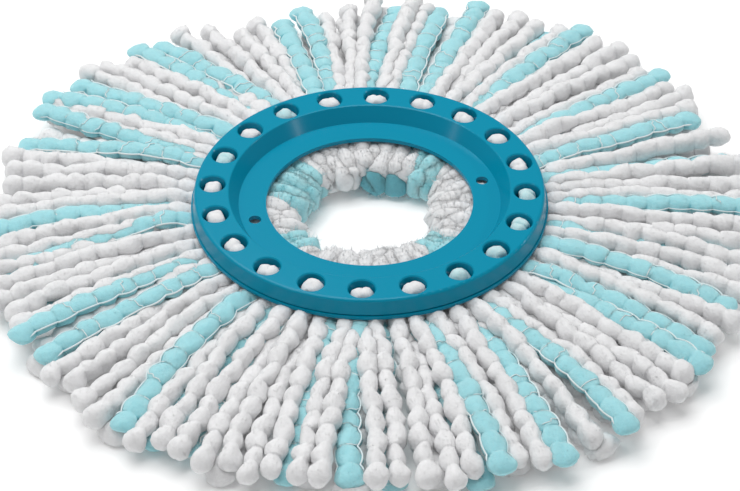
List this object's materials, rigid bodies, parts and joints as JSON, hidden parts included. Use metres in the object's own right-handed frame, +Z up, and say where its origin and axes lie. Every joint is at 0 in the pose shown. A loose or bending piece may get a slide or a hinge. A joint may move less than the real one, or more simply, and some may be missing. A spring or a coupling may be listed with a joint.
{
  "type": "spin mop head",
  "caption": "Round mop head: a moulded ring with a central opening and a rim of holes, each holding a tuft of beaded yarn that spreads out flat and bends at the ring.",
  "frame": {"origin": "centre of the flange's top face, on the ring's axis, where the mop's disc seats; the yarns lie on a floor 20.5 mm below it", "axes": "+Z up along the ring's axis, away from the yarns; +X through one of the two locating holes"},
  "size_m": [0.3548, 0.349, 0.0275],
  "materials": {
    "ring_plastic": "glossy moulded polypropylene, teal",
    "wire_steel": "drawn steel wire",
    "yarn_white": "soft white beaded microfibre yarn",
    "yarn_blue": "light blue segmented microfibre yarn"
  },
  "bodies": {
    "root": {"carrier_ring": "ring_plastic", "anchor_wires": "wire_steel", "yarn_folds": "yarn_white", "tuft_roots": "yarn_white"},
    "tuft_01": {"white_strands_01": "yarn_white", "blue_strands_01": "yarn_blue"},
    "tuft_02": {"white_strands_02": "yarn_white", "blue_strands_02": "yarn_blue"},
    "tuft_03": {"white_strands_03": "yarn_white", "blue_strands_03": "yarn_blue"},
    "tuft_04": {"white_strands_04": "yarn_white", "blue_strands_04": "yarn_blue"},
    "tuft_05": {"white_strands_05": "yarn_white", "blue_strands_05": "yarn_blue"},
    "tuft_06": {"white_strands_06": "yarn_white", "blue_strands_06": "yarn_blue"},
    "tuft_07": {"white_strands_07": "yarn_white", "blue_strands_07": "yarn_blue"},
    "tuft_08": {"white_strands_08": "yarn_white", "blue_strands_08": "yarn_blue"},
    "tuft_09": {"white_strands_09": "yarn_white", "blue_strands_09": "yarn_blue"},
    "tuft_10": {"white_strands_10": "yarn_white", "blue_strands_10": "yarn_blue"},
    "tuft_11": {"white_strands_11": "yarn_white", "blue_strands_11": "yarn_blue"},
    "tuft_12": {"white_strands_12": "yarn_white", "blue_strands_12": "yarn_blue"},
    "tuft_13": {"white_strands_13": "yarn_white", "blue_strands_13": "yarn_blue"},
    "tuft_14": {"white_strands_14": "yarn_white", "blue_strands_14": "yarn_blue"},
    "tuft_15": {"white_strands_15": "yarn_white", "blue_strands_15": "yarn_blue"},
    "tuft_16": {"white_strands_16": "yarn_white", "blue_strands_16": "yarn_blue"},
    "tuft_17": {"white_strands_17": "yarn_white", "blue_strands_17": "yarn_blue"},
    "tuft_18": {"white_strands_18": "yarn_white", "blue_strands_18": "yarn_blue"},
    "tuft_19": {"white_strands_19": "yarn_white", "blue_strands_19": "yarn_blue"},
    "tuft_20": {"white_strands_20": "yarn_white", "blue_strands_20": "yarn_blue"}
  },
  "joints": [
    {"name": "tuft_bend_01", "type": "hinge", "parent": "root", "child": "tuft_01", "pos_m": [0.0815, 0, -0.0155], "axis": [0, -1, 0], "range_deg": [-35, 20]},
    {"name": "tuft_bend_02", "type": "hinge", "parent": "root", "child": "tuft_02", "pos_m": [0.07751, 0.02518, -0.0155], "axis": [0.309, -0.9511, 0], "range_deg": [-35, 20]},
    {"name": "tuft_bend_03", "type": "hinge", "parent": "root", "child": "tuft_03", "pos_m": [0.06593, 0.0479, -0.0155], "axis": [0.5878, -0.809, 0], "range_deg": [-35, 20]},
    {"name": "tuft_bend_04", "type": "hinge", "parent": "root", "child": "tuft_04", "pos_m": [0.0479, 0.06593, -0.0155], "axis": [0.809, -0.5878, 0], "range_deg": [-35, 20]},
    {"name": "tuft_bend_05", "type": "hinge", "parent": "root", "child": "tuft_05", "pos_m": [0.02518, 0.07751, -0.0155], "axis": [0.9511, -0.309, 0], "range_deg": [-35, 20]},
    {"name": "tuft_bend_06", "type": "hinge", "parent": "root", "child": "tuft_06", "pos_m": [0, 0.0815, -0.0155], "axis": [1, 0, 0], "range_deg": [-35, 20]},
    {"name": "tuft_bend_07", "type": "hinge", "parent": "root", "child": "tuft_07", "pos_m": [-0.02518, 0.07751, -0.0155], "axis": [0.9511, 0.309, 0], "range_deg": [-35, 20]},
    {"name": "tuft_bend_08", "type": "hinge", "parent": "root", "child": "tuft_08", "pos_m": [-0.0479, 0.06593, -0.0155], "axis": [0.809, 0.5878, 0], "range_deg": [-35, 20]},
    {"name": "tuft_bend_09", "type": "hinge", "parent": "root", "child": "tuft_09", "pos_m": [-0.06593, 0.0479, -0.0155], "axis": [0.5878, 0.809, 0], "range_deg": [-35, 20]},
    {"name": "tuft_bend_10", "type": "hinge", "parent": "root", "child": "tuft_10", "pos_m": [-0.07751, 0.02518, -0.0155], "axis": [0.309, 0.9511, 0], "range_deg": [-35, 20]},
    {"name": "tuft_bend_11", "type": "hinge", "parent": "root", "child": "tuft_11", "pos_m": [-0.0815, 0, -0.0155], "axis": [0, 1, 0], "range_deg": [-35, 20]},
    {"name": "tuft_bend_12", "type": "hinge", "parent": "root", "child": "tuft_12", "pos_m": [-0.07751, -0.02518, -0.0155], "axis": [-0.309, 0.9511, 0], "range_deg": [-35, 20]},
    {"name": "tuft_bend_13", "type": "hinge", "parent": "root", "child": "tuft_13", "pos_m": [-0.06593, -0.0479, -0.0155], "axis": [-0.5878, 0.809, 0], "range_deg": [-35, 20]},
    {"name": "tuft_bend_14", "type": "hinge", "parent": "root", "child": "tuft_14", "pos_m": [-0.0479, -0.06593, -0.0155], "axis": [-0.809, 0.5878, 0], "range_deg": [-35, 20]},
    {"name": "tuft_bend_15", "type": "hinge", "parent": "root", "child": "tuft_15", "pos_m": [-0.02518, -0.07751, -0.0155], "axis": [-0.9511, 0.309, 0], "range_deg": [-35, 20]},
    {"name": "tuft_bend_16", "type": "hinge", "parent": "root", "child": "tuft_16", "pos_m": [0, -0.0815, -0.0155], "axis": [-1, 0, 0], "range_deg": [-35, 20]},
    {"name": "tuft_bend_17", "type": "hinge", "parent": "root", "child": "tuft_17", "pos_m": [0.02518, -0.07751, -0.0155], "axis": [-0.9511, -0.309, 0], "range_deg": [-35, 20]},
    {"name": "tuft_bend_18", "type": "hinge", "parent": "root", "child": "tuft_18", "pos_m": [0.0479, -0.06593, -0.0155], "axis": [-0.809, -0.5878, 0], "range_deg": [-35, 20]},
    {"name": "tuft_bend_19", "type": "hinge", "parent": "root", "child": "tuft_19", "pos_m": [0.06593, -0.0479, -0.0155], "axis": [-0.5878, -0.809, 0], "range_deg": [-35, 20]},
    {"name": "tuft_bend_20", "type": "hinge", "parent": "root", "child": "tuft_20", "pos_m": [0.07751, -0.02518, -0.0155], "axis": [-0.309, -0.9511, 0], "range_deg": [-35, 20]}
  ]
}
